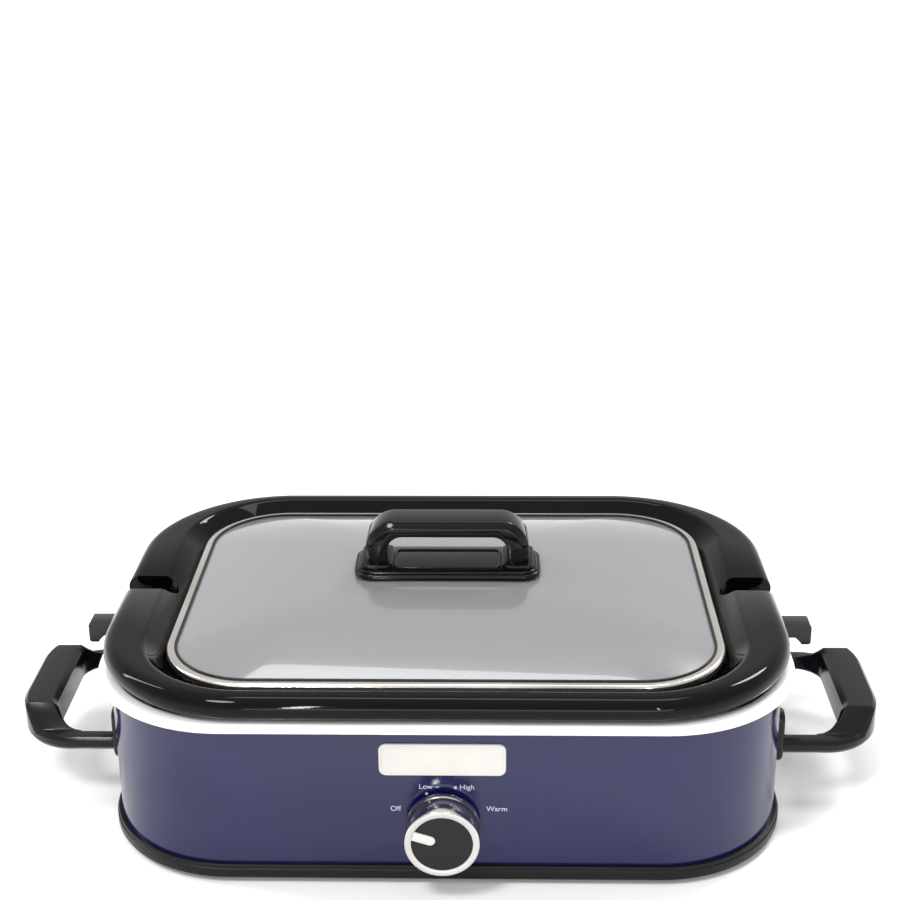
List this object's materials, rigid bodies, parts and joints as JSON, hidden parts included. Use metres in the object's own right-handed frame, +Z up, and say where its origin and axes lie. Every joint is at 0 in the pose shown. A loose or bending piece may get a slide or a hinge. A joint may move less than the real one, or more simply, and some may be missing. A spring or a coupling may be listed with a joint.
{
  "type": "slow cooker",
  "caption": "Slow cooker: painted metal base with a heating well, a lift-out stoneware casserole crock, a domed glass lid, side handles, strap hooks and a turning control knob.",
  "frame": {"origin": "on the resting surface, under the middle of the cooker's outline", "axes": "+X to the cooker's right as seen from the control knob's side, +Y to the back, +Z up"},
  "size_m": [0.52, 0.316, 0.1632],
  "materials": {
    "shell_paint": "satin enamel",
    "ring_plastic": "fine matte",
    "plate_steel": "plain galvanised sheet",
    "well_aluminium": "bright pressed sheet",
    "clip_steel": "bright spring steel",
    "heater_steel": "heat-tinted sheet",
    "clamp_steel": "plated",
    "reflector_aluminium": "bright sheet",
    "post_aluminium": "turned",
    "fuse_ceramic": "unglazed",
    "bracket_steel": "plated",
    "handle_plastic": "satin",
    "hook_plastic": "satin",
    "screw_steel": "plated",
    "foot_rubber": "matte",
    "plate_enamel": "smooth off-white, blank",
    "switch_plastic": "matte",
    "nut_steel": "plated",
    "block_ceramic": "unglazed",
    "wire_silicone": "smooth silicone",
    "gland_plastic": "matte",
    "knob_black": "gloss",
    "knob_chrome": "satin face, bright side",
    "knob_cream": "smooth",
    "shaft_steel": "turned",
    "crock_glaze": "deep gloss",
    "lid_glass": "clear tempered",
    "lid_steel": "polished stainless",
    "gasket_silicone": "smooth silicone",
    "lid_handle_plastic": "gloss",
    "lid_screw_steel": "stainless",
    "washer_silicone": "smooth silicone"
  },
  "bodies": {
    "base": {"outer_shell": "shell_paint", "bottom_ring": "ring_plastic", "bottom_plate": "plate_steel", "heating_well": "well_aluminium", "well_clips": "clip_steel", "heater_band": "heater_steel", "heater_clamp": "clamp_steel", "heat_reflector": "reflector_aluminium", "well_posts": "post_aluminium", "thermal_fuse": "fuse_ceramic", "fuse_bracket": "bracket_steel", "left_handle": "handle_plastic", "right_handle": "handle_plastic", "left_strap_hook": "hook_plastic", "right_strap_hook": "hook_plastic", "handle_screws": "screw_steel", "hook_screws": "screw_steel", "base_screws": "screw_steel", "feet": "foot_rubber", "name_plate": "plate_enamel", "rotary_switch": "switch_plastic", "switch_nut": "nut_steel", "terminal_block": "block_ceramic", "internal_wires": "wire_silicone", "cord_gland": "gland_plastic", "gland_nut": "gland_plastic"},
    "knob": {"knob_core": "knob_black", "knob_ring": "knob_chrome", "knob_pointer": "knob_cream", "switch_shaft": "shaft_steel"},
    "crock": {"crock": "crock_glaze"},
    "lid": {"lid_glass": "lid_glass", "lid_rim": "lid_steel", "lid_gasket": "gasket_silicone", "lid_handle_base": "lid_handle_plastic", "lid_handle_grip": "lid_handle_plastic", "lid_screws": "lid_screw_steel", "lid_washers": "washer_silicone"}
  },
  "joints": [
    {"name": "knob_turn", "type": "hinge", "parent": "base", "child": "knob", "pos_m": [0, -0.137, 0.0386], "axis": [0, -1, 0], "range_deg": [-147, 0]},
    {"name": "crock_lift", "type": "slide", "parent": "base", "child": "crock", "axis": [0, 0, 1], "range_m": [0, 0.15]},
    {"name": "lid_lift", "type": "slide", "parent": "crock", "child": "lid", "axis": [0, 0, 1], "range_m": [0, 0.115]}
  ]
}
